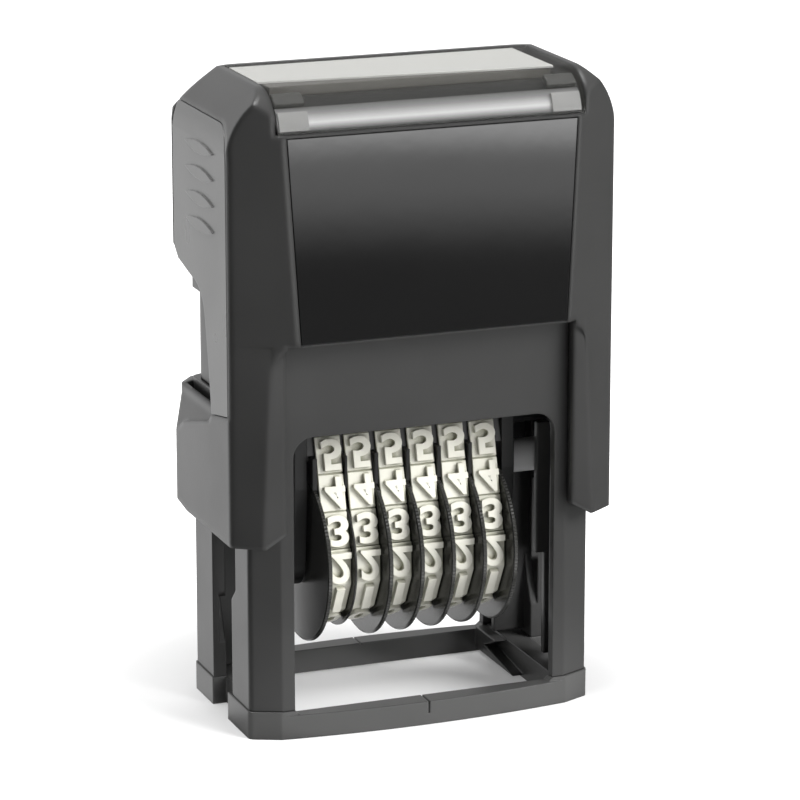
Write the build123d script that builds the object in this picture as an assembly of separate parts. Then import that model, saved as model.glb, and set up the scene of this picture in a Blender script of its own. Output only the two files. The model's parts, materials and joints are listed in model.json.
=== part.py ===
from math import cos, pi, sin
import os

from build123d import *

# Self-inking numbering stamp, in millimetres, +Z up, front face towards -Y.
# The origin is under the middle of the foot, below the pivot pins.
# The cap travels straight down over the base. The carriage with its number bands hangs
# on the cap's pivot pins and turns over on the way, from the ink pad to the paper.

# Stroke and heights
stroke = 18.6
print_height = 9.7
wheel_drop = 9.3
pivot_z = stroke + print_height
print_face_z = pivot_z + print_height
wheel_z = pivot_z - wheel_drop
run_clear = 0.1
slide_clear = 0.3
over = 1.0
reach = 80.0

# Foot and base frame
base_half_width = 21.6
base_half_depth = 11.5
base_side_wall = 1.6
base_front_wall = 1.2
base_corner_x = 3.6
base_corner_y = 1.6
base_edge = 0.8
base_roof = 1.4
foot_height = 3.4
foot_proud = 0.15
foot_bevel = 0.5
foot_bar_height = 2.9
foot_bar_depth = 1.2
foot_bar_bow = 1.2
foot_bar_slope = 0.6
foot_mark_width = 0.24
foot_mark_depth = 0.2
foot_flange = 3.0
post_width = 5.1
lintel_gap = 1.3
window_corner = 2.4
side_slot_half = 3.3
side_slot_step = 0.4
side_slot_wide = 5.2
side_slot_wide_z = 17.0
foot_slot_front = 2.3

# Ink pad
felt_gap = 0.1
felt_height = 3.2
felt_half_depth = 5.2
felt_margin = 5.8
pad_rim = 1.6
pad_height = 10.6
pad_grip_inset = 0.4
pad_corner = 3.0
pad_rear_gap = 1.6
ledge_width = 4.0
ledge_height = 2.0

# Cap
cap_gap = 0.6
cap_side_wall = 1.9
cap_front_wall = 1.2
cap_foot_gap = 2.2
cap_crown = 5.0
spring_seat_gap = 0.8
cap_corner_start = 2.3
cap_edge = 0.9
low_crease_inset = 3.3
rear_corner_x = 3.4
rear_corner_y = 4.2
face_proud_low = 1.45
face_proud_high = 0.8
face_inset_low = 7.3
face_inset_high = 5.9
face_below_base_top = 3.6
face_height = 24.6
flank_radius = 3.2
wing_gap = 1.5
wing_lift = 1.5
wing_lift_width = 2.5
skirt_lift = 1.2
skirt_lift_length = 8.0
rear_bar_height = 4.6
roof_side_inset = 4.2
roof_side_drop = 4.2
roof_side_radius = 10.0
roof_fall_y = 4.5
roof_fall_tilt = (0.6, 1.0, 1.35)
roof_front_radius = 5.4
roof_rear_radius = 9.0
blend_step = 0.05
guide_height = 9.6

# Finger recess at the rear of both sides, over the ends of the ink pad
recess_below_pad = 1.1
recess_above_pad = 3.3
recess_low_y = 4.4
recess_mid_y = 3.2
recess_high_y = 2.3
recess_high_drop = 3.2
recess_round_y = 2.0
recess_tail_y = 7.2
recess_tail_rise = 1.2
recess_rear_y = 9.6
recess_rear_rise = 3.4
recess_depth = 3.4
scoop_depth = 1.4
scoop_drop = 5.6
scoop_lip = 1.2
scoop_start = 1.0
scoop_mid_y = 6.2
scoop_mid_drop = 3.5

# Inserts in the cap
seam = 0.12
panel_thickness = 0.8
panel_rim_low = 0.15
panel_rim_high = 0.3
panel_rim_side = 0.2
side_panel_thickness = 1.2
side_panel_rear_inset = 0.4
side_panel_top_drop = 4.3
side_panel_corner = 4.0
side_panel_toe = 1.1
rib_count = 4
rib_pitch = 3.05
rib_top_drop = 8.2
rib_mid_y = -1.4
rib_half_length = 4.9
rib_half_height = 0.75
rib_rise = 0.2
window_pane = 1.5
window_side_inset = 0.9
window_rear_y = 4.0
window_lip_gap = 0.1
card_thickness = 0.3
card_inset = 0.9
card_half_depth = 6.0
card_mid_y = -2.4

# Carriage
pivot_radius = 2.05
pin_key = 2.2
pin_hole_flats = 12
pin_depth = 0.7
follower_radius = 0.8
follower_arm = 5.0
track_depth = 0.9
track_clear = 0.25
track_end_clear = 0.15
band_width = 3.2
band_pitch = 4.0
pair_pitch = 3.7
band_shift = 0.25
band_thickness = 1.1
band_drum_radius = 8.5
band_corner_radius = 1.9
band_corner_y = 2.3
cell_count = 16
cell_groove_depth = 0.25
anvil_height = 6.4
divider_thickness = 0.4
divider_drop = 0.4
divider_half_depth = 3.0
cheek_thickness = 1.6
cheek_axle_radius = 3.6
cheek_half_depth = 4.3
cheek_drop = 1.6
cheek_edge = 1.0
cheek_gap = 0.3

# Number wheels
disc_radius = 10.6
disc_thickness = 0.6
drum_flats = 11
knurl_count = 20
knurl_depth = 0.3
axle_radius = 1.0
axle_clear = 0.08
flange_radius = 9.1
flange_thickness = 0.3
hub_inset = 0.05

# Return spring
spring_radius = 4.0
spring_wire = 0.6
spring_turns = 3
spring_sides = 14
spring_seat_half = 2.1
spring_seat_height = 0.8

# Heights and widths that follow
felt_bottom_z = print_face_z + felt_gap
pad_bottom_z = felt_bottom_z + pad_rim
pad_top_z = pad_bottom_z + pad_height
pad_floor_z = pad_bottom_z - run_clear
pad_ceiling_z = pad_top_z + slide_clear
base_top_z = pad_ceiling_z + base_roof
window_top_z = print_face_z - lintel_gap
window_half_width = base_half_width - post_width
base_inner_x = base_half_width - base_side_wall
base_inner_y = base_half_depth - base_front_wall
felt_half_width = base_inner_x - felt_margin
cap_inner_x = base_half_width + cap_gap
cap_inner_y = base_half_depth + cap_gap
cap_half_width = cap_inner_x + cap_side_wall
cap_half_depth = cap_inner_y + cap_front_wall
cap_side_y = cap_half_depth - cap_corner_start
cap_bottom_z = foot_height + stroke + cap_foot_gap
face_bottom_z = base_top_z - face_below_base_top
face_top_z = face_bottom_z + face_height
cap_top_z = face_top_z + cap_crown
hollow_top_z = base_top_z + stroke + 2 * spring_seat_height + spring_seat_gap
roof_side_z = cap_top_z - roof_side_drop
roof_edge_x = cap_half_width - roof_side_inset
recess_bottom_z = pad_bottom_z - recess_below_pad
recess_top_z = pad_top_z + recess_above_pad

os.makedirs("parts", exist_ok=True)


def save(name, solid):
    solid.label = name
    export_step(solid, f"parts/{name}.step")


def box(x0, x1, y0, y1, z0, z1):
    """A block between opposite corners."""
    middle = ((x0 + x1) / 2, (y0 + y1) / 2, (z0 + z1) / 2)
    return Pos(*middle) * Box(x1 - x0, y1 - y0, z1 - z0)


def wide_box(half_x, y0, y1, z0, z1):
    """A block as wide to the left as to the right."""
    return box(-half_x, half_x, y0, y1, z0, z1)


def along_x(face, x0, x1):
    """A face drawn as (y, z), standing upright and thickened from x0 to x1."""
    upright = Plane(origin=(x0, 0, 0), x_dir=(0, 1, 0), z_dir=(1, 0, 0))
    return extrude(upright * face, x1 - x0)


def along_y(face, y0, y1):
    """A face drawn as (x, z), standing upright and thickened from y0 to y1."""
    upright = Plane(origin=(0, y1, 0), x_dir=(1, 0, 0), z_dir=(0, -1, 0))
    return extrude(upright * face, y1 - y0)


def disc(radius, z):
    """A round face about an axis along X, drawn as (y, z)."""
    return Pos(0, z) * Circle(radius)


def polygon(points):
    return make_face(Polyline(*points, close=True))


def left_and_right(points):
    """A mirrored outline, from the points of its right half."""
    return polygon(points + [(-x, y) for x, y in reversed(points)])


def mirrored(solid):
    return mirror(solid, about=Plane.YZ)


def both_sides(solid):
    return solid + mirrored(solid)


# Base frame: four posts under a housing for the ink pad
def base_outline(grow=0.0):
    """Plan of the base: straight sides with four cut corners."""
    x, y = base_half_width + grow, base_half_depth + grow
    side_y, end_x = y - base_corner_y, x - base_corner_x
    plan = left_and_right([(end_x, -y), (x, -side_y), (x, side_y), (end_x, y)])
    return fillet(plan.vertices(), base_edge)


def follower_place(share):
    """Where the follower pins are, as (y, z), after a share of the stroke."""
    turn = pi * share
    return (
        follower_arm * sin(turn),
        pivot_z - stroke * share + follower_arm * cos(turn),
    )


def track_face():
    """The path that turns the carriage over, a follower pin and its clearance wide."""
    steps = 12
    places = [follower_place(i / steps) for i in range(steps + 1)]
    half = follower_radius + track_clear
    face = trace(Polyline(*places), line_width=2 * half)
    for y, z in (places[0], places[-1]):
        face += Pos(y, z) * RegularPolygon(half, 8, major_radius=False)
    return face


base_frame = extrude(Pos(0, 0, foot_height) * base_outline(), base_top_z - foot_height)
base_frame -= wide_box(
    base_inner_x, -base_inner_y, base_inner_y, foot_height - over, pad_ceiling_z
)
portal_height = window_top_z - foot_height + window_corner
portal = Pos(0, window_top_z - portal_height / 2) * Rectangle(
    2 * window_half_width, portal_height
)
portal = fillet(portal.vertices().group_by(Axis.Y)[-1], window_corner)
base_frame -= along_y(portal, -base_half_depth - over, base_half_depth + over)
# The pad slides in from the rear on two ledges, and its ends stay open to the fingers
ledge = box(
    base_inner_x - ledge_width, base_inner_x, -base_inner_y, base_inner_y,
    pad_floor_z - ledge_height, pad_floor_z,
)
base_frame += both_sides(ledge)
base_frame -= wide_box(
    base_half_width + over, 0, base_half_depth + over, pad_floor_z, pad_ceiling_z
)
base_frame -= wide_box(
    felt_half_width + slide_clear, 0, base_half_depth + over,
    felt_bottom_z - run_clear, pad_ceiling_z,
)
# The slot in both sides is open at the foot and widens above the middle
narrow_y = side_slot_half + side_slot_step
side_slot = polygon(
    [
        (side_slot_half, foot_height - over),
        (side_slot_half, window_top_z),
        (-side_slot_wide, window_top_z),
        (-side_slot_wide, side_slot_wide_z),
        (-narrow_y, side_slot_wide_z - side_slot_wide + narrow_y),
        (-narrow_y, foot_height - over),
    ]
)
base_frame -= both_sides(along_x(side_slot, base_inner_x - over, base_half_width + over))
track = along_x(track_face(), base_inner_x - base_side_wall, base_inner_x + track_depth)
base_frame -= both_sides(track)
base_frame += wide_box(
    spring_seat_half, -spring_seat_half, spring_seat_half,
    base_top_z, base_top_z + spring_seat_height,
)
save("base_frame", base_frame)

# Foot ring: bars that bow outwards in front and at the rear, and a hooked flange on each side
foot_ring = extrude(base_outline(foot_proud), foot_height)
bow_x, bow_y = base_half_width - base_corner_x, base_half_depth + foot_proud
bow = make_face(
    ThreePointArc((-bow_x, -bow_y), (0, -bow_y - foot_bar_bow), (bow_x, -bow_y))
    + Line((bow_x, -bow_y), (-bow_x, -bow_y))
)
bow = extrude(bow + mirror(bow, about=Plane.XZ), foot_bar_height)
foot_ring = foot_ring + bow
bar_inner_y = base_half_depth - foot_bar_depth
flange_x = base_inner_x - foot_flange
foot_ring -= wide_box(flange_x, -bar_inner_y, bar_inner_y, -over, foot_height + over)
bar_top = left_and_right(
    [
        (window_half_width - foot_bar_slope, foot_bar_height),
        (window_half_width, foot_height),
        (window_half_width, foot_height + over),
    ]
)
foot_ring -= along_y(bar_top, -reach, reach)
foot_ring -= both_sides(
    box(
        base_inner_x, reach, -foot_slot_front, side_slot_half, -over, foot_height + over
    )
)
mark_y = bow_y + foot_bar_bow - foot_mark_depth
for front_y, rear_y in ((-reach, -mark_y), (mark_y, reach)):
    foot_ring -= wide_box(
        foot_mark_width / 2, front_y, rear_y, foot_bar_height / 2, foot_bar_height
    )
foot_ring -= wide_box(
    foot_mark_width / 2, -reach, reach, foot_bar_height - foot_mark_depth, foot_bar_height
)
hook_top_z = foot_height - foot_proud
hook = polygon(
    [
        (bar_inner_y + run_clear, foot_bevel),
        (bar_inner_y + run_clear, hook_top_z),
        (0.37 * bar_inner_y, hook_top_z),
        (0.75 * bar_inner_y, hook_top_z / 2),
        (-0.17 * bar_inner_y, foot_bevel),
    ]
)
foot_ring += both_sides(along_x(hook, flange_x - foot_flange / 2, flange_x))
save("foot_ring", foot_ring)


# Cap: a skirt with two wings in front, and a face that stands out above them
def cap_outline(crease_x, front_y):
    """Plan of the cap, with its front between two creases."""
    x, rear_y = cap_half_width, cap_half_depth
    plan = left_and_right(
        [
            (crease_x, -front_y),
            (x, -cap_side_y),
            (x, rear_y - rear_corner_y),
            (x - rear_corner_x, rear_y),
        ]
    )
    return fillet(plan.vertices(), cap_edge)


def up_face(low, high, z):
    """A size that changes evenly up the face, from its lower edge to its upper edge."""
    return low + (high - low) * (z - face_bottom_z) / face_height


def face_x(z):
    return cap_half_width - up_face(face_inset_low, face_inset_high, z)


def face_y(z):
    return cap_half_depth + up_face(face_proud_low, face_proud_high, z)


def roof_profile(inset=0.0):
    """Side view of the cap with its rounded roof, as (y, z)."""
    top, low = cap_top_z - inset, cap_bottom_z - over
    rear, ahead = cap_half_depth + blend_step - inset, blend_step - inset
    plate = polygon(
        [
            (-face_y(low) - ahead, low),
            (rear, low),
            (rear, top),
            (-face_y(top) - ahead, top),
        ]
    )
    front_corner = plate.vertices().group_by(Axis.Y)[-1].sort_by(Axis.X)[0]
    plate = fillet(front_corner, roof_front_radius - inset)
    rear_corner_top = plate.vertices().group_by(Axis.X)[-1].sort_by(Axis.Y)[-1]
    return fillet(rear_corner_top, roof_rear_radius - inset)


low_crease = cap_half_width - low_crease_inset
high_crease = cap_half_width - 2 * blend_step - face_inset_low * cap_corner_start / (
    cap_corner_start + face_proud_low
)
cap_lower = loft(
    [
        Pos(0, 0, cap_bottom_z) * cap_outline(low_crease, cap_half_depth),
        Pos(0, 0, face_bottom_z) * cap_outline(high_crease, cap_half_depth),
    ],
    ruled=True,
)
flank_z = face_bottom_z - flank_radius - over
cap_upper = loft(
    [Pos(0, 0, z) * cap_outline(face_x(z), face_y(z)) for z in (flank_z, cap_top_z + over)],
    ruled=True,
)
cap_upper -= wide_box(reach, -cap_half_depth, reach, flank_z - over, face_bottom_z)
# The face ends above the skirt in an edge that curves out to the creases
under_face = Pos(0, face_bottom_z - reach / 2) * Rectangle(2 * high_crease + seam, reach)
under_face = fillet(under_face.vertices().group_by(Axis.Y)[-1], flank_radius)
cap_upper -= along_y(under_face, -reach, -cap_half_depth)
side_x = cap_half_width + blend_step
cap_ends = left_and_right(
    [(side_x, cap_bottom_z - over), (side_x, roof_side_z), (roof_edge_x, cap_top_z)]
)
shoulders = cap_ends.vertices().group_by(Axis.X)
cap_ends = fillet(
    [shoulders[0].sort_by(Axis.Y)[-1], shoulders[-1].sort_by(Axis.Y)[-1]], roof_side_radius
)
cap_outer = (cap_upper + cap_lower) & along_x(roof_profile(), -reach, reach)
cap_outer &= along_y(cap_ends, -reach, reach)
fall = Plane(origin=(roof_edge_x, roof_fall_y, cap_top_z), z_dir=roof_fall_tilt)
fall_block = fall * Pos(0, 0, reach / 2) * Box(reach, reach, reach)
cap_outer = cap_outer - fall_block - mirrored(fall_block)

hollow = extrude(
    Pos(0, 0, cap_bottom_z - over) * base_outline(cap_gap),
    base_top_z + stroke + spring_seat_height - cap_bottom_z + over,
)
cap_shell = cap_outer - hollow
cap_shell -= wide_box(
    roof_edge_x, -cap_inner_y + roof_front_radius, cap_inner_y - roof_rear_radius / 2,
    cap_bottom_z, hollow_top_z,
)
# Open front between two wings, whose inner lower corners are cut away
wing_x = window_half_width + wing_gap
wing_cut = left_and_right(
    [
        (wing_x + wing_lift_width, cap_bottom_z - over),
        (wing_x + wing_lift_width, cap_bottom_z),
        (wing_x, cap_bottom_z + wing_lift),
        (wing_x, face_bottom_z),
    ]
)
cap_shell -= along_y(wing_cut, -reach, -cap_inner_y + over)
rear_window = Pos(0, recess_bottom_z - rear_bar_height - reach / 2) * Rectangle(
    2 * wing_x, reach
)
rear_window = fillet(rear_window.vertices().group_by(Axis.Y)[-1], window_corner)
cap_shell -= along_y(rear_window, cap_inner_y - over, reach)
# The skirt's rear end rises a little
skirt_end = polygon(
    [
        (cap_half_depth - skirt_lift_length, cap_bottom_z),
        (cap_half_depth, cap_bottom_z + skirt_lift),
        (cap_half_depth + over, cap_bottom_z + skirt_lift),
        (cap_half_depth + over, cap_bottom_z - over),
        (cap_half_depth - skirt_lift_length, cap_bottom_z - over),
    ]
)
cap_shell -= along_x(skirt_end, -reach, reach)
# Rear opening for the pad, running into the finger recess of both sides
recess_x = cap_half_width - recess_depth
cap_shell -= wide_box(
    recess_x, cap_inner_y - over, cap_half_depth + over, recess_bottom_z, recess_top_z
)
cap_shell -= wide_box(
    felt_half_width + slide_clear, cap_inner_y - over, cap_half_depth + over,
    felt_bottom_z - slide_clear, recess_top_z,
)
recess_mid_z = (recess_bottom_z + recess_top_z) / 2
recess_high_z = recess_top_z - recess_high_drop
recess_edge = (
    ThreePointArc(
        (-recess_low_y, recess_bottom_z),
        (-recess_mid_y, recess_mid_z),
        (-recess_high_y, recess_high_z),
    )
    + ThreePointArc(
        (-recess_high_y, recess_high_z),
        (recess_high_y - recess_mid_y, recess_top_z - recess_high_drop / 3),
        (recess_round_y, recess_top_z),
    )
    + Polyline(
        (recess_round_y, recess_top_z),
        (recess_tail_y, recess_top_z + recess_tail_rise),
        (recess_rear_y, recess_top_z + recess_rear_rise),
        (reach, recess_top_z + recess_rear_rise),
        (reach, recess_bottom_z),
        (-recess_low_y, recess_bottom_z),
    )
)
recess_face = make_face(Wire(recess_edge.edges()))
scoop_x = cap_half_width - scoop_depth
scoop_face = polygon(
    [
        (cap_half_width, recess_bottom_z - scoop_drop),
        (scoop_x, recess_bottom_z - scoop_lip),
        (scoop_x, recess_bottom_z + over),
        (cap_half_width + over, recess_bottom_z + over),
        (cap_half_width + over, recess_bottom_z - scoop_drop),
    ]
)
cap_shell -= both_sides(along_x(recess_face, recess_x, cap_half_width + over))
# A shallow scoop under the recess, deeper towards the rear
scoop_rim = polygon(
    [
        (-recess_low_y, recess_bottom_z + over),
        (-recess_low_y, recess_bottom_z),
        (scoop_start - recess_low_y, recess_bottom_z - scoop_start),
        (scoop_mid_y, recess_bottom_z - scoop_mid_drop),
        (recess_rear_y, recess_bottom_z - scoop_drop),
        (reach, recess_bottom_z - scoop_drop),
        (reach, recess_bottom_z + over),
    ]
)
scoop = along_y(scoop_face, -reach, reach) & along_x(scoop_rim, scoop_x - over, reach)
cap_shell -= both_sides(scoop)
# A guide rib on both side walls runs in the slot of the base and holds a pivot pin
guide_half = side_slot_half - slide_clear
guide_bottom_z = cap_bottom_z + slide_clear
guide = Pos(0, guide_bottom_z + guide_height / 2) * Rectangle(2 * guide_half, guide_height)
guide = fillet(guide.vertices(), guide_half - slide_clear)
guide_x = base_inner_x + track_depth + track_end_clear
cap_shell += both_sides(along_x(guide, guide_x, cap_inner_x + run_clear))
pin_end_x = cap_inner_x + pin_depth
pin_hole_x = pin_end_x + run_clear
pin_hole = Pos(0, pivot_z) * RegularPolygon(
    pivot_radius + run_clear, pin_hole_flats, major_radius=False
)
cap_shell -= along_x(pin_hole, -pin_hole_x, pin_hole_x)
cap_shell += wide_box(
    spring_seat_half, -spring_seat_half, spring_seat_half,
    hollow_top_z - spring_seat_height, hollow_top_z,
)


# Glossy panel, flush in the front face
def panel_face(inset):
    """Outline of the gloss panel from the front, as (x, z)."""
    low = face_bottom_z + panel_rim_low + inset
    high = face_top_z - panel_rim_high - inset
    return left_and_right([(face_x(z) - panel_rim_side - inset, z) for z in (low, high)])


def face_layer(outer, inner):
    """The layer between two depths under the leaning front face."""
    low, high = face_bottom_z - over, face_top_z + over
    layer = polygon(
        [
            (outer - face_y(low), low),
            (outer - face_y(high), high),
            (inner - face_y(high), high),
            (inner - face_y(low), low),
        ]
    )
    return along_x(layer, -reach, reach)


cap_shell -= along_y(panel_face(0), -reach, -cap_inner_y) & face_layer(-over, panel_thickness)
front_panel = along_y(panel_face(seam), -reach, -cap_inner_y) & face_layer(0, panel_thickness)
save("front_panel", front_panel)


# Side panels with lens-shaped grip ribs, cut away at the finger recess
def side_panel_face(inset):
    """Outline of a side panel, as (y, z)."""
    front, low = -cap_side_y + cap_edge / 2 + inset, recess_bottom_z + inset
    rear = cap_half_depth - rear_corner_y - side_panel_rear_inset - inset
    high = cap_top_z - side_panel_top_drop - inset
    plate = polygon(
        [
            (front, low + side_panel_toe),
            (-recess_low_y, low),
            (rear, low),
            (rear, high),
            (front, high),
        ]
    )
    corner = plate.vertices().group_by(Axis.Y)[-1].sort_by(Axis.X)[0]
    return fillet(corner, side_panel_corner)


def rib_face(z):
    """A lens, pointed at both ends."""
    shares = (-1, -0.6, -0.2, 0.2, 0.6)
    upper = [(rib_mid_y + rib_half_length * s, z + rib_half_height * (1 - s * s)) for s in shares]
    lower = [(2 * rib_mid_y - y, 2 * z - top) for y, top in upper]
    return polygon(upper + lower)


panel_back_x = cap_half_width - side_panel_thickness
cap_shell -= both_sides(along_x(side_panel_face(0), panel_back_x, reach))
side_plate = side_panel_face(seam) - offset(recess_face, seam)
side_panel = along_x(side_plate, panel_back_x, cap_half_width) & cap_outer
for i in range(rib_count):
    rib = rib_face(cap_top_z - rib_top_drop - i * rib_pitch)
    side_panel += along_x(
        rib, cap_half_width - side_panel_thickness / 2, cap_half_width + rib_rise
    )
save("side_panel_right", side_panel)
save("side_panel_left", mirrored(side_panel))

# Clear index window over the roof and its front rounding, with the card under it
window_x = roof_edge_x - window_side_inset
window_lip_z = face_top_z + window_lip_gap
pane = along_x(roof_profile() - roof_profile(window_pane), -reach, reach)
cap_shell -= pane & wide_box(
    window_x + seam, -reach, window_rear_y + seam, window_lip_z - seam, cap_top_z + over
)
index_window = pane & wide_box(
    window_x, -reach, window_rear_y, window_lip_z, cap_top_z + over
)
save("index_window", index_window)
card_x = window_x - card_inset
card_top_z = cap_top_z - window_pane
card_front_y, card_rear_y = card_mid_y - card_half_depth, card_mid_y + card_half_depth
cap_shell -= wide_box(
    card_x + seam, card_front_y - seam, card_rear_y + seam,
    card_top_z - card_thickness, card_top_z + seam,
)
index_card = wide_box(
    card_x, card_front_y, card_rear_y, card_top_z - card_thickness, card_top_z
)
save("cap_shell", cap_shell)
save("index_card", index_card)

# Ink pad: a case with finger grips at both ends, and the felt in its underside
pad_front_y = -base_inner_y + slide_clear
pad_rear_y = cap_inner_y - pad_rear_gap
pad_case = wide_box(
    base_inner_x - slide_clear, pad_front_y, pad_rear_y - pad_corner, pad_bottom_z, pad_top_z
)
pad_grips = wide_box(
    base_half_width - pad_grip_inset, slide_clear, pad_rear_y, pad_bottom_z, pad_top_z
)
pad_case += fillet(pad_grips.edges().filter_by(Axis.Z).group_by(Axis.Y)[-1], pad_corner)
felt = wide_box(
    felt_half_width, -felt_half_depth, felt_half_depth, felt_bottom_z, felt_bottom_z + felt_height
)
save("pad_case", pad_case - felt)
save("ink_pad", felt)


# Number bands, each a loop round the anvil and the drum of its wheel
def stretched_round(circles):
    """Outline stretched round circles given as (y, z, radius)."""
    return make_hull([(Pos(y, z) * Circle(r)).edge() for y, z, r in circles])


def loop_outline():
    """The outside of a band's loop."""
    z = print_face_z - band_corner_radius
    return stretched_round(
        [
            (-band_corner_y, z, band_corner_radius),
            (band_corner_y, z, band_corner_radius),
            (0, wheel_z, band_drum_radius),
        ]
    )


def loop_inside(inset):
    """The inside of a band's loop, in flats round the drum and cut corners on the anvil."""
    z, r = print_face_z - band_corner_radius, band_corner_radius - band_thickness - inset
    corners = Polyline(
        (-band_corner_y - r, z),
        (-band_corner_y, z + r),
        (band_corner_y, z + r),
        (band_corner_y + r, z),
    )
    flats = RegularPolygon(
        band_drum_radius - band_thickness - inset, cell_count, major_radius=False
    )
    return make_hull([*corners.edges(), *(Pos(0, wheel_z) * flats).edges()])


loop = loop_outline().face().outer_wire()
print_share = loop.param_at_point(Vector(0, print_face_z))
band_face = loop_outline() - loop_inside(0)
groove = RegularPolygon(cell_groove_depth, 4)
for i in range(cell_count):
    share = (print_share + (i + 0.5) / cell_count) % 1
    spot, heading = loop @ share, loop % share
    turn = Vector(1, 0).get_signed_angle(heading, Vector(0, 0, 1))
    band_face -= Pos(spot.X, spot.Y) * Rot(0, 0, turn) * groove
last_x = band_shift + (4 * band_pitch + pair_pitch) / 2
band_middles = [last_x - 4 * band_pitch - pair_pitch]
band_middles += [last_x - i * band_pitch for i in range(4, -1, -1)]
for i, x in enumerate(band_middles):
    save(f"band_{i + 1}", along_x(band_face, x - band_width / 2, x + band_width / 2))

# Number wheels: a drum inside the band, and beside it a knurled disc to turn it by
rim = []
for i in range(2 * knurl_count):
    r = disc_radius - knurl_depth * (i % 2)
    rim.append((r * cos(pi * i / knurl_count), wheel_z + r * sin(pi * i / knurl_count)))
bore = disc(axle_radius + axle_clear, wheel_z)
drum = Pos(0, wheel_z) * RegularPolygon(
    band_drum_radius - band_thickness - run_clear, drum_flats
)
drum -= bore
knurled = polygon(rim) - bore
disc_start = band_width / 2 + run_clear
disc_end = disc_start + disc_thickness
drum_end = band_width / 2 - hub_inset
wheel = along_x(drum, -drum_end, disc_start) + along_x(knurled, disc_start, disc_end)
flange_start = band_width / 2 + hub_inset
flange = disc(flange_radius, wheel_z) - bore
first_wheel = mirrored(wheel) + along_x(drum, drum_end, flange_start)
first_wheel += along_x(flange, flange_start, flange_start + flange_thickness)
save("wheel_1", Pos(band_middles[0], 0, 0) * first_wheel)
for i, x in enumerate(band_middles[1:]):
    save(f"wheel_{i + 2}", Pos(x, 0, 0) * wheel)

# Anvil behind the print face, with dividers between the bands
anvil_left = band_middles[0] - disc_end - cheek_gap
anvil_right = band_middles[-1] + disc_end + cheek_gap
anvil_zone = Pos(0, print_face_z - anvil_height + reach / 2) * Rectangle(reach, reach)
anvil = along_x(loop_inside(hub_inset) & anvil_zone, anvil_left, anvil_right)
divider_height = anvil_height - divider_drop
divider = Pos(0, print_face_z - divider_drop - divider_height / 2) * Rectangle(
    2 * divider_half_depth, divider_height
)
for left, right in zip(band_middles, band_middles[1:]):
    start = (left + right - divider_thickness) / 2
    anvil += along_x(divider, start, start + divider_thickness)
save("anvil", anvil)

# Cheeks that carry the axle, the pivot pins and the followers that run in the tracks
cheek_top_z = print_face_z - cheek_drop - cheek_edge
cheek_y = cheek_half_depth - cheek_edge
cheek_face = stretched_round(
    [
        (0, wheel_z, cheek_axle_radius),
        (-cheek_y, cheek_top_z, cheek_edge),
        (cheek_y, cheek_top_z, cheek_edge),
        (-cheek_y - run_clear, pivot_z, cheek_edge),
        (cheek_y + run_clear, pivot_z, cheek_edge),
    ]
)
key = Pos(0, pivot_z) * Rectangle(pin_key, pin_key)
cheek_face -= disc(axle_radius, wheel_z) + key
follower_x = base_inner_x + track_depth - track_end_clear
follower = disc(follower_radius, pivot_z + follower_arm)
for side, inner_x in (("left", -anvil_left), ("right", anvil_right)):
    outer_x = inner_x + cheek_thickness
    cheek = along_x(cheek_face, inner_x, outer_x) + along_x(follower, outer_x, follower_x)
    pin = along_x(disc(pivot_radius, pivot_z), outer_x, pin_end_x)
    pin += along_x(key, inner_x, outer_x)
    if side == "left":
        cheek, pin = mirrored(cheek), mirrored(pin)
    save(f"cheek_{side}", cheek)
    save(f"pivot_pin_{side}", pin)
axle = disc(axle_radius, wheel_z)
save("wheel_axle", along_x(axle, anvil_left - cheek_thickness, anvil_right + cheek_thickness))

# Return spring between the base frame and the roof of the cap
spring_height = hollow_top_z - base_top_z - spring_wire
spring_steps = spring_turns * spring_sides
coil_points = []
for i in range(spring_steps + 1):
    turn, rise = 2 * pi * i / spring_sides, spring_height * i / spring_steps
    coil_points.append((spring_radius * cos(turn), spring_radius * sin(turn), rise))
coil = Polyline(*coil_points)
wire_section = Plane(origin=coil @ 0, z_dir=coil % 0) * Rectangle(
    spring_wire * 0.7, spring_wire * 0.7
)
spring = sweep(wire_section, path=coil, transition=Transition.RIGHT)
save("return_spring", Pos(0, 0, base_top_z + spring_wire / 2) * spring)
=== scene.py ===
import json
import math

import bmesh
import bpy
from mathutils import Matrix, Vector


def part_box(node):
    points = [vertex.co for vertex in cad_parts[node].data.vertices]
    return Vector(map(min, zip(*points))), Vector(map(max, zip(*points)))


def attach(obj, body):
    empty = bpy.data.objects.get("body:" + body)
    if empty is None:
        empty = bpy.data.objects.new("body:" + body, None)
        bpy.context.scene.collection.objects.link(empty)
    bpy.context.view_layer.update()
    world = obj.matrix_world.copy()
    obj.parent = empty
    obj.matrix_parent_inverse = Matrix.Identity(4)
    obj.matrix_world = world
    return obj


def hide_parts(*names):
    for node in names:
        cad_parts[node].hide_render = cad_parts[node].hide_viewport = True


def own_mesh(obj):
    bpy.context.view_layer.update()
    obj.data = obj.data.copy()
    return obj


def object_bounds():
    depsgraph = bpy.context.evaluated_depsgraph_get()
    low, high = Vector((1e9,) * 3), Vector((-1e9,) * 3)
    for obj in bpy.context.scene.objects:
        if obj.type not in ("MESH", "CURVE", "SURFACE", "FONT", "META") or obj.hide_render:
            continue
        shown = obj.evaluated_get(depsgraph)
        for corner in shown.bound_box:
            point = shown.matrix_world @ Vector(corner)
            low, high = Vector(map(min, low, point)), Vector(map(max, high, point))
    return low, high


# A self-inking numbering stamp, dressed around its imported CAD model.
# All lengths are in metres, +Z is up, and the front faces -Y.

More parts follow.
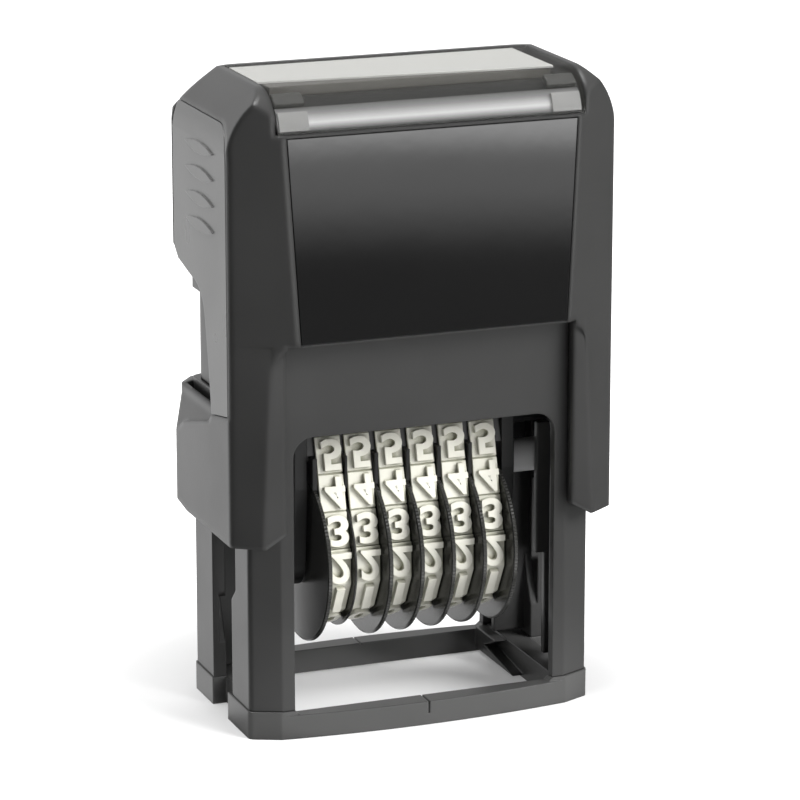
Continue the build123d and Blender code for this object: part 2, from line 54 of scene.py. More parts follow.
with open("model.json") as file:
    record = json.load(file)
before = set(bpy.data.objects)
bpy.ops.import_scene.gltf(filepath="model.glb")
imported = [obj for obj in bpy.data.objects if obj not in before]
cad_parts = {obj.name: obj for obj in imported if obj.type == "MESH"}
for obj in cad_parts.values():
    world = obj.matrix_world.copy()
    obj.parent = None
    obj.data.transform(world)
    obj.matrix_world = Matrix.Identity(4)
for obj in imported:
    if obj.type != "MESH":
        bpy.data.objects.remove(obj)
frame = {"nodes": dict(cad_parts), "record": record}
cad_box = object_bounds()
scene = bpy.context.scene
MM = 0.001

# Places taken from the frame
band_names = [f"band_{i}" for i in range(1, 7)]
wheel_names = [f"wheel_{i}" for i in range(1, 7)]
band_low, band_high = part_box("band_1")
wheel_low, wheel_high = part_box("wheel_2")
wheel_z = (wheel_low.z + wheel_high.z) / 2
print_face_z = band_high.z
drum_radius = wheel_z - band_low.z
disc_radius = (wheel_high.y - wheel_low.y) / 2
both_sides = ((-1, "left"), (1, "right"))


# Meshes
def mesh_object(name, bm):
    mesh = bpy.data.meshes.new(name)
    bm.to_mesh(mesh)
    bm.free()
    piece = bpy.data.objects.new(name, mesh)
    scene.collection.objects.link(piece)
    return piece


def smooth(piece, angle=35):
    """Round surfaces shade smoothly, and edges sharper than the angle stay crisp."""
    mesh = piece.data
    mesh.polygons.foreach_set("use_smooth", [True] * len(mesh.polygons))
    mesh.set_sharp_from_angle(angle=math.radians(angle))


def bevel(piece, width, segments=2):
    """Rounds the edges sharper than 40 degrees."""
    modifier = piece.modifiers.new("soft edges", "BEVEL")
    modifier.width = width
    modifier.segments = segments
    modifier.limit_method = "ANGLE"
    modifier.angle_limit = math.radians(40)


def add_box(bm, low, high):
    """A block between two corners, added to a mesh."""
    size = Vector(high) - Vector(low)
    middle = (Vector(high) + Vector(low)) / 2
    matrix = Matrix.Translation(middle) @ Matrix.Diagonal((*size, 1))
    return bmesh.ops.create_cube(bm, size=1, matrix=matrix)["verts"]


# Materials
noise_middle = (0.3, 0.7)
ray_samples = 8


def new_material(name):
    material = bpy.data.materials.new(name)
    material.use_nodes = True
    tree = material.node_tree
    return material, tree, tree.nodes["Principled BSDF"]


def noise(tree, scale, detail=3.0):
    """A noise fixed to the object, scaled per metre."""
    where = tree.nodes.new("ShaderNodeTexCoord")
    texture = tree.nodes.new("ShaderNodeTexNoise")
    texture.inputs["Scale"].default_value = scale
    texture.inputs["Detail"].default_value = detail
    tree.links.new(where.outputs["Object"], texture.inputs["Vector"])
    return texture.outputs["Fac"]


def spread(tree, value, low, high):
    """Maps the middle of a noise to a range."""
    node = tree.nodes.new("ShaderNodeMapRange")
    node.inputs["From Min"].default_value, node.inputs["From Max"].default_value = noise_middle
    node.inputs["To Min"].default_value = low
    node.inputs["To Max"].default_value = high
    tree.links.new(value, node.inputs["Value"])
    return node.outputs["Result"]


def eased(tree, value, start, end, low, high):
    """A smooth step from low to high as the value goes from start to end."""
    node = tree.nodes.new("ShaderNodeMapRange")
    node.interpolation_type = "SMOOTHSTEP"
    for name, number in zip(("From Min", "From Max", "To Min", "To Max"), (start, end, low, high)):
        node.inputs[name].default_value = number
    tree.links.new(value, node.inputs["Value"])
    return node.outputs["Result"]


def tint(tree, shader, colour, value, change):
    """The colour, a little darker and lighter from place to place."""
    ramp = tree.nodes.new("ShaderNodeValToRGB")
    for element, at, share in zip(ramp.color_ramp.elements, noise_middle, (1 - change, 1 + change)):
        element.position = at
        element.color = (*[c * share for c in colour], 1)
    tree.links.new(value, ramp.inputs["Fac"])
    tree.links.new(ramp.outputs["Color"], shader.inputs["Base Color"])


def relief(tree, shader, value, depth, edge=0.0):
    """Bump of a real depth, over edges rounded by a real radius."""
    bump = tree.nodes.new("ShaderNodeBump")
    bump.inputs["Strength"].default_value = 1.0
    bump.inputs["Distance"].default_value = depth
    tree.links.new(value, bump.inputs["Height"])
    if edge:
        rounding = tree.nodes.new("ShaderNodeBevel")
        rounding.samples = ray_samples
        rounding.inputs["Radius"].default_value = edge
        tree.links.new(rounding.outputs["Normal"], bump.inputs["Normal"])
    tree.links.new(bump.outputs["Normal"], shader.inputs["Normal"])


def plastic(name, colour, rough, grain=2600, depth=0.006 * MM, edge=0.22 * MM):
    """Moulded plastic with a fine eroded grain and slightly uneven gloss."""
    material, tree, shader = new_material(name)
    fine, broad = noise(tree, grain), noise(tree, 90)
    tint(tree, shader, colour, broad, 0.05)
    tree.links.new(spread(tree, broad, rough - 0.03, rough + 0.03), shader.inputs["Roughness"])
    relief(tree, shader, fine, depth, edge)
    return material


def gloss_material():
    """The polished black panel under a clear coat."""
    material, tree, shader = new_material("gloss_panel")
    broad = noise(tree, 60)
    tint(tree, shader, (0.004, 0.004, 0.004), broad, 0.08)
    tree.links.new(spread(tree, broad, 0.045, 0.06), shader.inputs["Roughness"])
    shader.inputs["Coat Weight"].default_value = 0.6
    shader.inputs["Coat Roughness"].default_value = 0.05
    relief(tree, shader, noise(tree, 240), 0.004 * MM, 0.12 * MM)
    return material


def clear_material(name, rough, colour, alpha):
    """Thin clear plastic: faintly tinted, with a glossy face."""
    material, tree, shader = new_material(name)
    faint = noise(tree, 150)
    tint(tree, shader, colour, faint, 0.02)
    shader.inputs["Alpha"].default_value = alpha
    shader.inputs["IOR"].default_value = 1.5
    tree.links.new(spread(tree, faint, rough, rough + 0.02), shader.inputs["Roughness"])
    relief(tree, shader, faint, 0.0005 * MM)
    return material


# Greys of the strip by height: a dark seam line at its lower edge, a pale painted reflection, and
# painted shade towards its top.
strip_low_z, strip_high_z = 73.1 * MM, 76.4 * MM
strip_seam_reflection_shade_greys = ((0.04, 0.05), (0.13, 0.78), (0.32, 0.85), (0.62, 0.3), (0.92, 0.04))


def strip_material():
    """The pale strip in the window's front, a painted reflection of the front rounding: dark along
    its lower edge at the seam, and painted shade towards its top.
    """
    material, tree, shader = new_material("lip_reflection_strip")
    where = tree.nodes.new("ShaderNodeTexCoord")
    split = tree.nodes.new("ShaderNodeSeparateXYZ")
    height = tree.nodes.new("ShaderNodeMapRange")
    height.inputs["From Min"].default_value = strip_low_z
    height.inputs["From Max"].default_value = strip_high_z
    ramp = tree.nodes.new("ShaderNodeValToRGB")
    elements = ramp.color_ramp.elements
    added = [elements.new(0.5) for _ in strip_seam_reflection_shade_greys[2:]]
    for (at, grey), element in zip(strip_seam_reflection_shade_greys, [*elements[:2], *added]):
        element.position = at
        element.color = (grey, grey, grey, 1)
    tree.links.new(where.outputs["Object"], split.inputs[0])
    tree.links.new(split.outputs["Z"], height.inputs["Value"])
    tree.links.new(height.outputs["Result"], ramp.inputs["Fac"])
    tree.links.new(ramp.outputs["Color"], shader.inputs["Base Color"])
    shader.inputs["Roughness"].default_value = 0.5
    relief(tree, shader, noise(tree, 900), 0.0006 * MM)
    return material


def card_material():
    material, tree, shader = new_material("card")
    fibres = noise(tree, 3500, 6)
    tint(tree, shader, (0.74, 0.74, 0.71), fibres, 0.03)
    shader.inputs["Roughness"].default_value = 0.8
    relief(tree, shader, fibres, 0.006 * MM)
    return material


def felt_material():
    material, tree, shader = new_material("felt")
    fibres = noise(tree, 5200, 8)
    tint(tree, shader, (0.03, 0.03, 0.042), fibres, 0.5)
    shader.inputs["Roughness"].default_value = 0.85
    shader.inputs["Sheen Weight"].default_value = 0.3
    relief(tree, shader, fibres, 0.05 * MM)
    return material


def rubber_material():
    """Cream rubber, with painted shade darkening its corners and recesses."""
    material, tree, shader = new_material("band_rubber")
    dust, fine = noise(tree, 420, 5), noise(tree, 3000)
    tint(tree, shader, (0.7, 0.69, 0.61), dust, 0.07)
    cream = shader.inputs["Base Color"].links[0].from_socket
    # Painted shade: where ambient occlusion finds a recess, the cream darkens towards the dark
    # greenish grey below.
    corners = tree.nodes.new("ShaderNodeAmbientOcclusion")
    corners.samples = ray_samples
    corners.inputs["Distance"].default_value = 0.9 * MM
    painted_recess_shade = tree.nodes.new("ShaderNodeMix")
    painted_recess_shade.data_type = "RGBA"
    share = eased(tree, corners.outputs["AO"], 0.3, 0.85, 0.0, 1.0)
    tree.links.new(share, painted_recess_shade.inputs["Factor"])
    colours = [socket for socket in painted_recess_shade.inputs if socket.type == "RGBA"]
    # Colour of the painted shade in the recesses
    colours[0].default_value = (0.3, 0.3, 0.22, 1)
    tree.links.new(cream, colours[1])
    mixed = next(socket for socket in painted_recess_shade.outputs if socket.type == "RGBA")
    tree.links.new(mixed, shader.inputs["Base Color"])
    tree.links.new(spread(tree, dust, 0.42, 0.55), shader.inputs["Roughness"])
    relief(tree, shader, fine, 0.008 * MM, 0.06 * MM)
    return material


def steel_material(name):
    material, tree, shader = new_material(name)
    streaks = noise(tree, 1800, 4)
    tint(tree, shader, (0.55, 0.55, 0.54), streaks, 0.1)
    shader.inputs["Metallic"].default_value = 1.0
    tree.links.new(spread(tree, streaks, 0.25, 0.4), shader.inputs["Roughness"])
    relief(tree, shader, streaks, 0.003 * MM)
    return material


looks = {
    "cap_plastic": plastic("cap_plastic", (0.029, 0.029, 0.0285), 0.33, edge=1.0 * MM),
    "grip_plastic": plastic("grip_plastic", (0.11, 0.11, 0.109), 0.3),
    "body_plastic": plastic("body_plastic", (0.03, 0.03, 0.0295), 0.33, edge=0.3 * MM),
    "foot_plastic": plastic("foot_plastic", (0.062, 0.062, 0.061), 0.33, edge=0.3 * MM),
    "bed_plastic": plastic("bed_plastic", (0.14, 0.135, 0.122), 0.35),
    "pad_plastic": plastic("pad_plastic", (0.03, 0.03, 0.0295), 0.36),
    "carriage_plastic": plastic("carriage_plastic", (0.012, 0.012, 0.012), 0.38),
    "pin_plastic": plastic("pin_plastic", (0.5, 0.5, 0.5), 0.3),
    "wheel_plastic": plastic("wheel_plastic", (0.024, 0.024, 0.022), 0.24, edge=0.05 * MM),
    "gloss_panel": gloss_material(),
    "clear_window": clear_material("clear_window", 0.2, (0.03, 0.03, 0.027), 0.2),
    "smoke_clip": clear_material("smoke_clip", 0.12, (0.13, 0.13, 0.125), 0.7),
    "pale_clip": clear_material("pale_clip", 0.12, (0.52, 0.52, 0.51), 0.75),
    "lip_reflection_strip": strip_material(),
    "card": card_material(),
    "felt": felt_material(),
    "band_rubber": rubber_material(),
    "axle_steel": steel_material("axle_steel"),
    "spring_steel": steel_material("spring_steel"),
}


def dress(piece, look):
    """Gives a piece one material."""
    piece.data.materials.clear()
    piece.data.materials.append(looks[look])


node_looks = {part["node"]: part["material_slot"] for part in frame["record"]["subparts"]}
node_looks["foot_ring"] = "foot_plastic"
for name, node in frame["nodes"].items():
    dress(node, node_looks[name])


def finished(piece, look, body, *stands_for, slot=None):
    """Dresses a new piece and hands it to its body, in place of CAD nodes or beside them."""
    dress(piece, look)
    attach(piece, body)
    if stands_for:
        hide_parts(*stands_for)


# Number wheels with their fine knurling
teeth = 150
tooth_depth = 0.075 * MM
disc_thickness = 0.6 * MM
disc_chamfer = 0.12 * MM
bore_radius = 1.08 * MM
flange_radius = 9.1 * MM
flange_thickness = 0.3 * MM
flange_chamfer = 0.08 * MM
hub_radius = drum_radius - 1.2 * MM
hub_chamfer = 0.02 * MM


def ring_of(bm, radius, x, count, depth=0.0):
    """A ring of points about the wheel's axis, every other one deeper."""
    ring = []
    for i in range(count):
        r = radius - depth * (i % 2)
        turn = math.tau * i / count
        ring.append(bm.verts.new((x, r * math.cos(turn), wheel_z + r * math.sin(turn))))
    return ring


def bridge(bm, rings):
    """Skins a row of rings into a closed tube that ends where it began."""
    for a, b in zip(rings, rings[1:] + rings[:1]):
        for i in range(len(a)):
            j = (i + 1) % len(a)
            bm.faces.new((a[i], a[j], b[j], b[i]))


def round_part(bm, radius, x0, x1, chamfer, depth=0.0):
    """A ring about the axle with its bore, and with teeth where it has a depth."""
    count = 2 * teeth
    rings = [
        ring_of(bm, bore_radius, x0, count),
        ring_of(bm, radius - chamfer - depth, x0, count),
        ring_of(bm, radius, x0 + chamfer, count, depth),
        ring_of(bm, radius, x1 - chamfer, count, depth),
        ring_of(bm, radius - chamfer - depth, x1, count),
        ring_of(bm, bore_radius, x1, count),
    ]
    bridge(bm, rings)


def number_wheel(name):
    """A hub with a knurled disc at one side, and on the first wheel a flange at the other."""
    low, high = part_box(name)
    bm = bmesh.new()
    if name == wheel_names[0]:
        hub_start, hub_end = low.x + disc_thickness, high.x - flange_thickness
        round_part(bm, disc_radius, low.x, hub_start, disc_chamfer, tooth_depth)
        round_part(bm, hub_radius, hub_start, hub_end, hub_chamfer)
        round_part(bm, flange_radius, hub_end, high.x, flange_chamfer)
    else:
        hub_end = high.x - disc_thickness
        round_part(bm, disc_radius, hub_end, high.x, disc_chamfer, tooth_depth)
        round_part(bm, hub_radius, low.x, hub_end, hub_chamfer)
    bmesh.ops.recalc_face_normals(bm, faces=bm.faces)
    wheel = mesh_object(f"knurled_{name}", bm)
    smooth(wheel, 30)
    finished(wheel, "wheel_plastic", f"{name}_body", name)


for name in wheel_names:
    number_wheel(name)

# Number bands: a thin belt, a block for each cell, and raised digits mirrored as on any stamp.
# Depths are measured inwards from the faces of the digits.
cell_count = 16
corner_radius = 1.9 * MM
corner_y = 2.3 * MM
belt_top, belt_bottom = 0.85 * MM, 1.1 * MM
belt_inset = 0.05 * MM
belt_steps = 160
ground, block_root = 0.62 * MM, 0.95 * MM
block_edge = 0.07 * MM
block_rows = 7
cell_gap = 0.16 * MM
band_half_width = 1.6 * MM
face_drop = 0.03 * MM
digit_root = 0.05 * MM
digit_height = 3.75 * MM
digit_width = 2.55 * MM
narrow_one = 0.4
digit_shift = 0.18 * MM
zero_cell = 7


class Loop:
    """The outside of a band, from the middle of the print face down the front."""

    def __init__(self):
        self.corner_z = print_face_z - corner_radius
        down, fall = self.corner_z - wheel_z, drum_radius - corner_radius
        span = math.hypot(corner_y, down)
        self.lean = math.asin(fall / span) - math.atan2(corner_y, down)
        self.side = math.sqrt(span**2 - fall**2)
        self.arc = corner_radius * (math.pi / 2 - self.lean)
        self.drum_arc = drum_radius * (math.pi / 2 + self.lean)
        self.half = corner_y + self.arc + self.side + self.drum_arc

    def at(self, s):
        """The point (y, z) and the outward angle after s along the front half."""
        if s <= corner_y:
            return (-s, print_face_z), math.pi / 2
        s -= corner_y
        if s <= self.arc:
            angle = math.pi / 2 - s / corner_radius
            centre, radius = (-corner_y, self.corner_z), corner_radius
        elif s <= self.arc + self.side:
            angle, s = self.lean, s - self.arc
            y, z = -corner_y - corner_radius * math.cos(angle), self.corner_z
            z += corner_radius * math.sin(angle)
            return (y - s * math.sin(angle), z - s * math.cos(angle)), angle
        else:
            angle = self.lean - (s - self.arc - self.side) / drum_radius
            centre, radius = (0, wheel_z), drum_radius
        return (centre[0] - radius * math.cos(angle), centre[1] + radius * math.sin(angle)), angle

    def axes(self, s, x):
        """Axes on the band at s: across, along towards lower cells, and outwards."""
        (y, z), angle = self.at(abs(s))
        normal = Vector((0, -math.cos(angle), math.sin(angle)))
        along = Vector((0, -math.sin(angle), -math.cos(angle)))
        if s < 0:
            y, normal.y, along.z = -y, -normal.y, -along.z
        place = Matrix((Vector((1, 0, 0)), along, normal)).transposed().to_4x4()
        return Matrix.Translation((x, y, z)) @ place


loop = Loop()
cell_length = 2 * loop.half / cell_count


def lay(mesh, cell, x):
    """Moves a flat drawing onto a cell, bent with the band beside the print face."""
    s = cell * cell_length
    if abs(cell) == 1:
        for vertex in mesh.vertices:
            at = vertex.co
            vertex.co = loop.axes(s + at.y, x) @ Vector((at.x, 0, at.z))
    else:
        mesh.transform(loop.axes(s, x))


def flat_block(half_x, half_y, low, high):
    """The block of one cell, cut into rows so that it can bend."""
    bm = bmesh.new()
    add_box(bm, (-half_x, -half_y, low), (half_x, half_y, high))
    bmesh.ops.bevel(bm, geom=bm.edges[:], offset=block_edge, segments=1, affect="EDGES")
    for i in range(1, block_rows):
        cut = -half_y + 2 * half_y * i / block_rows
        whole = bm.verts[:] + bm.edges[:] + bm.faces[:]
        bmesh.ops.bisect_plane(bm, geom=whole, plane_co=(0, cut, 0), plane_no=(0, 1, 0))
    mesh = bpy.data.meshes.new("block")
    bm.to_mesh(mesh)
    bm.free()
    return mesh


def digit_mesh(text):
    """A digit of the built-in typeface, as a mesh of the cell's size."""
    curve = bpy.data.curves.new("digit", "FONT")
    curve.body = text
    curve.align_x = "CENTER"
    curve.align_y = "CENTER"
    curve.extrude = 0.5
    curve.offset = 0.028
    curve.resolution_u = 6
    holder = bpy.data.objects.new("digit", curve)
    scene.collection.objects.link(holder)
    bpy.context.view_layer.update()
    evaluated = holder.evaluated_get(bpy.context.evaluated_depsgraph_get())
    mesh = bpy.data.meshes.new_from_object(evaluated)
    points = [v.co.copy() for v in mesh.vertices]
    low = Vector([min(p[i] for p in points) for i in range(3)])
    high = Vector([max(p[i] for p in points) for i in range(3)])
    size, middle = high - low, (high + low) / 2
    width = digit_width * (narrow_one if text == "1" else 1)
    rise = ground - face_drop + digit_root
    scale = Matrix.Diagonal((width / size.x, digit_height / size.y, rise / size.z, 1))
    shift = Matrix.Translation((digit_shift, 0, -face_drop - rise / 2))
    mesh.transform(shift @ scale @ Matrix.Translation(-middle))
    bpy.data.objects.remove(holder)
    return mesh


digits = [digit_mesh(str(i)) for i in range(10)]
cell_block = flat_block(band_half_width, (cell_length - cell_gap) / 2, -block_root, -ground)


def belt(bm, x):
    """The thin belt that joins the cells."""
    half_width = band_half_width - belt_inset
    rings = []
    for depth, side in ((belt_top, -1), (belt_top, 1), (belt_bottom, 1), (belt_bottom, -1)):
        ring = []
        for i in range(belt_steps):
            s = loop.half * (2 * i / belt_steps - 1)
            ring.append(bm.verts.new(loop.axes(s, x) @ Vector((side * half_width, 0, -depth))))
        rings.append(ring)
    bridge(bm, rings)


def number_band(name):
    """A belt with its cells: the digit 0 has its place, and the others follow it upwards."""
    low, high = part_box(name)
    x = (low.x + high.x) / 2
    bm = bmesh.new()
    belt(bm, x)
    for cell in range(-cell_count // 2 + 1, cell_count // 2 + 1):
        value = zero_cell - cell
        for drawing in [cell_block] + ([digits[value]] if 0 <= value <= 9 else []):
            placed = drawing.copy()
            lay(placed, cell, x)
            bm.from_mesh(placed)
            bpy.data.meshes.remove(placed)
    bmesh.ops.recalc_face_normals(bm, faces=bm.faces)
    band = mesh_object(f"rubber_{name}", bm)
    smooth(band, 30)
    finished(band, "band_rubber", "carriage", name)


for name in band_names:
    number_band(name)


# Clear window, the card and its bed under it, and the pale strip behind its front rounding, which
# paints the rounding's bright reflection
window_low, window_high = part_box("index_window")
panel_low, panel_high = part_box("index_card")
roof_radius = 5.4 * MM
roof_centre_y = window_low.y + roof_radius
roof_centre_z = window_high.z - roof_radius
pane_thickness = 0.15 * MM


def roof_arc(start, end, inset, steps=14):
    """Points (y, z) on the front rounding, between two angles above level."""
    points = []
    r = roof_radius - inset
    for i in range(steps + 1):
        angle = math.radians(start + (end - start) * i / steps)
        points.append((roof_centre_y - r * math.cos(angle), roof_centre_z + r * math.sin(angle)))
    return points


def slab(name, outer, inner, x0, x1, soft=0.06 * MM):
    """A curved slab between two lines of (y, z) points."""
    bm = bmesh.new()
    rows = [[bm.verts.new((x, y, z)) for y, z in outer + inner[::-1]] for x in (x0, x1)]
    count = len(rows[0])
    for i in range(count):
        j = (i + 1) % count
        bm.faces.new((rows[0][i], rows[0][j], rows[1][j], rows[1][i]))
    for row in rows:
        for i in range(len(outer) - 1):
            bm.faces.new((row[i], row[i + 1], row[count - 2 - i], row[count - 1 - i]))
    bmesh.ops.recalc_face_normals(bm, faces=bm.faces)
    piece = mesh_object(name, bm)
    bevel(piece, soft)
    smooth(piece, 35)
    return piece


lip_angle = math.degrees(math.asin((window_low.z - roof_centre_z) / roof_radius))
pane_ends = [
    roof_arc(lip_angle, 90, inset) + [(window_high.y, window_high.z - inset)]
    for inset in (0, pane_thickness)
]
pane = slab("window_pane", *pane_ends, window_low.x, window_high.x, 0.03 * MM)
finished(pane, "clear_window", "window", "index_window")

# The pale strip is a painted reflection behind the pane's front rounding, with painted shade
# towards its top.
strip = slab(
    "lip_reflection_strip", roof_arc(6, 44, 0.8 * MM), roof_arc(6, 44, 1.4 * MM),
    window_low.x + 0.3 * MM, window_high.x - 0.3 * MM,
)
finished(strip, "lip_reflection_strip", "cap", slot="card")


def flat_slab(name, x0, x1, y0, y1, z0, z1):
    return slab(name, [(y0, z1), (y1, z1)], [(y0, z0), (y1, z0)], x0, x1)


card_top = window_high.z - pane_thickness - 0.03 * MM
card_bottom = card_top - 0.3 * MM
askew = 2.6 * MM
card = flat_slab(
    "card_sheet", panel_low.x - 0.5 * MM, panel_high.x - 0.9 * MM,
    panel_low.y, window_high.y - 0.05 * MM, card_bottom, card_top,
)
for vertex in card.data.vertices:
    # The sheet's front edge runs a little askew under the window
    if vertex.co.x < 0 and vertex.co.y < 0:
        vertex.co.y += askew
finished(card, "card", "cap", "index_card")
bed = flat_slab(
    "card_bed", panel_low.x + 0.2 * MM, panel_high.x - 1.1 * MM,
    panel_low.y + 0.3 * MM, panel_high.y - 0.2 * MM, panel_low.z, card_bottom,
)
finished(bed, "bed_plastic", "cap", slot="cap_plastic")

# Clips of the window: each with its angles on the rounding, its depth and its look
clip_inner, clip_outer, clip_inset = 15.0 * MM, 18.6 * MM, 0.46 * MM
clips = (("upper", 48, 70, 1.1 * MM, "smoke_clip"), ("lower", 9, 36, 0.78 * MM, "pale_clip"))
for side, name in both_sides:
    ends = sorted((side * clip_inner, side * clip_outer))
    for place, start, end, depth, look in clips:
        faces = [roof_arc(start, end, inset) for inset in (clip_inset, depth)]
        clip = slab(f"{place}_clip_{name}", *faces, *ends)
        finished(clip, look, "cap", slot="clear_window")

# Thin leaves of the carriage beside the bands, arched over the discs
leaf_half_width, leaf_radius = 5.6 * MM, disc_radius + 0.25 * MM
leaf_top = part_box("anvil")[0].z + 0.6 * MM
across = [i * leaf_half_width / 6 for i in range(-6, 7)]
arch = [(y, wheel_z + math.sqrt(leaf_radius**2 - y**2)) for y in across]
crest = [(y, leaf_top) for y in across]
row = ["cheek_left", *band_names]
for a, b in zip(row, row[1:]):
    start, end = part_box(a)[1].x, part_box(b)[0].x
    margin = 0.2 * (end - start)
    leaf = slab(f"leaf_after_{a}", crest, arch, start + margin, end - margin, 0.03 * MM)
    finished(leaf, "carriage_plastic", "carriage")

# Guide ribs inside the base, in mm: place, inner x, then y and z from and to
guides = (
    ("front", 17.3, -4.5, -3.6, 17.0, 33.5),
    ("front_low", 18.4, -4.5, -3.6, 4.0, 17.0),
    ("rear", 16.0, 5.5, 6.4, 4.0, 33.5),
)
post_inside = 20.9
for side, name in both_sides:
    for place, inner, *rest in guides:
        ends = sorted((side * inner * MM, side * post_inside * MM))
        rib = flat_slab(f"guide_{place}_{name}", *ends, *(value * MM for value in rest))
        finished(rib, "body_plastic", "base")


# Return spring as a real coil, on a mesh of its own
def coil_spring():
    low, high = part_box("return_spring")
    wire = 0.3 * MM
    radius = (high.x - low.x) / 2 - wire
    turns, steps, sides = 3, 40, 10
    bm = bmesh.new()
    rings = []
    for i in range(turns * steps + 1):
        turn = math.tau * i / steps
        rise = low.z + wire + (high.z - low.z - 2 * wire) * i / (turns * steps)
        ring = []
        for k in range(sides):
            around = math.tau * k / sides
            r, z = radius + wire * math.cos(around), rise + wire * math.sin(around)
            ring.append(bm.verts.new((r * math.cos(turn), r * math.sin(turn), z)))
        rings.append(ring)
    for a, b in zip(rings, rings[1:]):
        for k in range(sides):
            j = (k + 1) % sides
            bm.faces.new((a[k], a[j], b[j], b[k]))
    bm.faces.new(rings[0])
    bm.faces.new(rings[-1])
    bmesh.ops.recalc_face_normals(bm, faces=bm.faces)
    spring = mesh_object("coil_of_spring", bm)
    smooth(spring, 50)
    finished(spring, "spring_steel", "base", "return_spring")
    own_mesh(spring)


coil_spring()


# Ink pad with a soft rounded felt
def felt_pad():
    low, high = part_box("ink_pad")
    bm = bmesh.new()
    add_box(bm, low, high)
    bmesh.ops.subdivide_edges(bm, edges=bm.edges, cuts=6, use_grid_fill=True)
    felt = mesh_object("felt_of_pad", bm)
    bevel(felt, 0.5 * MM, 3)
    smooth(felt, 60)
    finished(felt, "felt", "pad", "ink_pad")


felt_pad()

# What the floor and the world are made of; the floor carries painted shade and a painted reflection
floor_level = cad_box[0].z
rear_left, dim_left, dim_right, ahead = (
    (-0.35, 0.94, -0.2), (-0.93, -0.37, -0.1), (0.93, 0.3, -0.1), (0.32, -0.94, -0.05)
)
upwards = (0, 0, 1)
front_glow, middle_glow, high_glow = 4.2, 1.3, 0.9


def dot_with(tree, vector, direction):
    node = tree.nodes.new("ShaderNodeVectorMath")
    node.operation = "DOT_PRODUCT"
    node.inputs[1].default_value = Vector(direction).normalized()
    tree.links.new(vector, node.inputs[0])
    return node.outputs["Value"]


def vector_of(tree, operation, vector, output):
    node = tree.nodes.new("ShaderNodeVectorMath")
    node.operation = operation
    tree.links.new(vector, node.inputs[0])
    return node.outputs[output]


def joined(tree, operation, a, b):
    node = tree.nodes.new("ShaderNodeMath")
    node.operation = operation
    tree.links.new(a, node.inputs[0])
    tree.links.new(b, node.inputs[1])
    return node.outputs[0]


def blended(tree, factor, a, b):
    """The number a, and b where the factor is 1."""
    node = tree.nodes.new("ShaderNodeMix")
    for name, socket in (("Factor", factor), ("A", a), ("B", b)):
        tree.links.new(socket, node.inputs[name])
    return node.outputs["Result"]


def chosen(tree, factor, a, b):
    """The shader a, and b where the factor is 1."""
    node = tree.nodes.new("ShaderNodeMixShader")
    tree.links.new(factor, node.inputs["Fac"])
    tree.links.new(a, node.inputs[1])
    tree.links.new(b, node.inputs[2])
    return node.outputs[0]


def room_brightness(tree, vector, front):
    """What the gloss of the part reflects: a pale room, dim on two sides, bright in front."""
    rear = eased(tree, dot_with(tree, vector, rear_left), 0.4, 0.95, 0.7, 1.3)
    left = eased(tree, dot_with(tree, vector, dim_left), 0.6, 0.92, 1.0, 0.02)
    right = eased(tree, dot_with(tree, vector, dim_right), 0.4, 0.9, 1.0, 0.4)
    sides = joined(tree, "MULTIPLY", joined(tree, "MULTIPLY", rear, left), right)
    facing = eased(tree, dot_with(tree, vector, ahead), 0.75, 0.95, 0.0, 1.0)
    return blended(tree, facing, sides, front)


def mirrored_floor(tree, place, distance):
    """The floor's painted reflection, a glow that only the part's gloss sees: the room's
    brightness, and plain around the foot.
    """
    outward = vector_of(tree, "NORMALIZE", place, "Vector")
    front = joined(
        tree, "ADD",
        eased(tree, distance, 0.32, 0.42, 0.15, middle_glow),
        eased(tree, distance, 0.45, 0.51, 0.0, front_glow - middle_glow),
    )
    room = room_brightness(tree, outward, front)
    close = eased(tree, distance, 0.03, 0.065, 1.0, 0.0)
    outside = joined(
        tree, "MAXIMUM",
        eased(tree, dot_with(tree, place, (0, 1, 0)), -0.014, -0.01, 1.0, 0.0),
        eased(tree, dot_with(tree, place, (1, 0, 0)), -0.023, -0.02, 1.0, 0.0),
    )
    around_foot = eased(tree, dot_with(tree, outward, dim_left), 0.9, 0.99, 1.2, 0.4)
    return blended(tree, joined(tree, "MULTIPLY", close, outside), room, around_foot)


def studio_floor():
    """A pale floor, which the camera sees as white beyond the object's shadow, with painted shade
    where its glow is weaker near the object, and a glow of painted reflection that only glossy rays
    see.
    """
    bm = bmesh.new()
    bmesh.ops.create_grid(bm, x_segments=2, y_segments=2, size=3)
    floor = mesh_object("floor", bm)
    floor.location.z = floor_level
    material, tree, shader = new_material("floor")
    shader.inputs["Base Color"].default_value = (0.7, 0.7, 0.7, 1)
    shader.inputs["Roughness"].default_value = 0.7
    shader.inputs["Specular IOR Level"].default_value = 0.1
    place = tree.nodes.new("ShaderNodeTexCoord").outputs["Object"]
    distance = vector_of(tree, "LENGTH", place, "Value")
    # The mirrored glow is a painted reflection: the floor glows only for glossy rays.
    glow, mirrored = (tree.nodes.new("ShaderNodeEmission") for _ in range(2))
    # Painted shade: the floor's glow is weak near the object and full further out, so a darker
    # patch lies around the foot.
    glow_with_painted_shade_near = eased(tree, distance, 0.025, 0.06, 0.2, 0.75)
    tree.links.new(glow_with_painted_shade_near, glow.inputs["Strength"])
    tree.links.new(mirrored_floor(tree, place, distance), mirrored.inputs["Strength"])
    add = tree.nodes.new("ShaderNodeAddShader")
    tree.links.new(shader.outputs[0], add.inputs[0])
    tree.links.new(glow.outputs[0], add.inputs[1])
    rays = tree.nodes.new("ShaderNodeLightPath").outputs
    seen = chosen(tree, rays["Is Camera Ray"], shader.outputs[0], add.outputs[0])
    surface = chosen(tree, rays["Is Glossy Ray"], seen, mirrored.outputs[0])
    tree.links.new(surface, tree.nodes["Material Output"].inputs["Surface"])
    floor.data.materials.append(material)


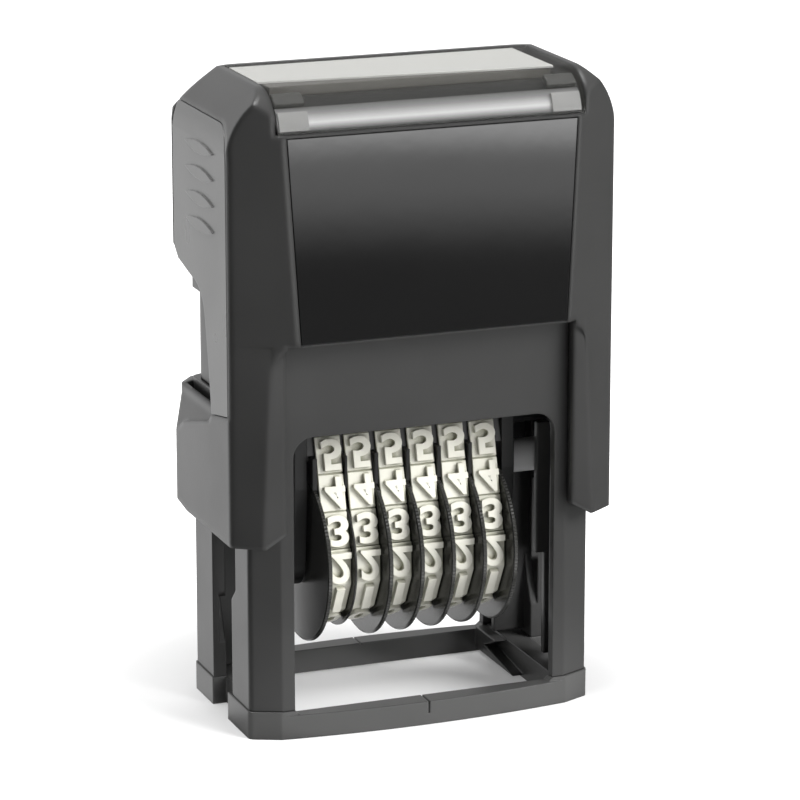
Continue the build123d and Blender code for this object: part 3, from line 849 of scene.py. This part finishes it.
def studio_world():
    """White for the camera and through glass, and a plain grey light on the object."""
    world = bpy.data.worlds.new("studio")
    scene.world = world
    world.use_nodes = True
    tree = world.node_tree
    background = tree.nodes["Background"]
    white, room = (tree.nodes.new("ShaderNodeBackground") for _ in range(2))
    for backdrop in (background, white):
        backdrop.inputs["Color"].default_value = (1, 1, 1, 1)
    background.inputs["Strength"].default_value = 0.25
    direction = tree.nodes.new("ShaderNodeTexCoord").outputs["Generated"]
    front = eased(tree, dot_with(tree, direction, upwards), 0.08, 0.3, front_glow, high_glow)
    tree.links.new(room_brightness(tree, direction, front), room.inputs["Strength"])
    rays = tree.nodes.new("ShaderNodeLightPath").outputs
    straight = joined(tree, "MAXIMUM", rays["Is Camera Ray"], rays["Is Transmission Ray"])
    seen = chosen(tree, straight, background.outputs[0], white.outputs[0])
    surface = chosen(tree, rays["Is Glossy Ray"], seen, room.outputs[0])
    tree.links.new(surface, tree.nodes["World Output"].inputs["Surface"])


def soft_light(name, place, target, side, power):
    """A square lamp that faces its target."""
    data = bpy.data.lights.new(name, "AREA")
    data.shape = "RECTANGLE"
    data.size, data.size_y = side, side
    data.energy = power
    lamp = bpy.data.objects.new(name, data)
    scene.collection.objects.link(lamp)
    lamp.location = Vector(place)
    away = Vector(place) - Vector(target)
    lamp.rotation_euler = away.to_track_quat("Z", "Y").to_euler()
    return lamp


studio_floor()
studio_world()
middle = Vector((0, 0, 0.04))
key = soft_light("key_light", (0.42, -0.46, 0.40), middle, 0.42, 8.6)
key.visible_glossy = False
soft_light("top_light", (-0.12, 0.02, 0.62), middle, 0.3, 3.4)

# The camera of the photograph: its direction, its distance and its field of view
azimuth, elevation = math.radians(-21.306), math.radians(15.223)
camera_distance = 473.7 * MM
image_pixels, focal_pixels = 800, 3958.6
aim_right, aim_up = 1.18 * MM, -3.02 * MM


def photo_camera():
    data = bpy.data.cameras.new("camera")
    data.sensor_width = 36
    data.lens = focal_pixels * data.sensor_width / image_pixels
    data.clip_start, data.clip_end = 0.01, 20
    camera = bpy.data.objects.new("camera", data)
    scene.collection.objects.link(camera)
    back = Vector((
        math.sin(azimuth) * math.cos(elevation),
        -math.cos(azimuth) * math.cos(elevation),
        math.sin(elevation),
    ))
    right = Vector((math.cos(azimuth), math.sin(azimuth), 0))
    up = back.cross(right)
    aim = middle + right * aim_right + up * aim_up
    turn = Matrix((right, up, back)).transposed().to_4x4()
    camera.matrix_world = Matrix.Translation(aim + back * camera_distance) @ turn
    scene.camera = camera


photo_camera()
scene.view_settings.view_transform = "Standard"
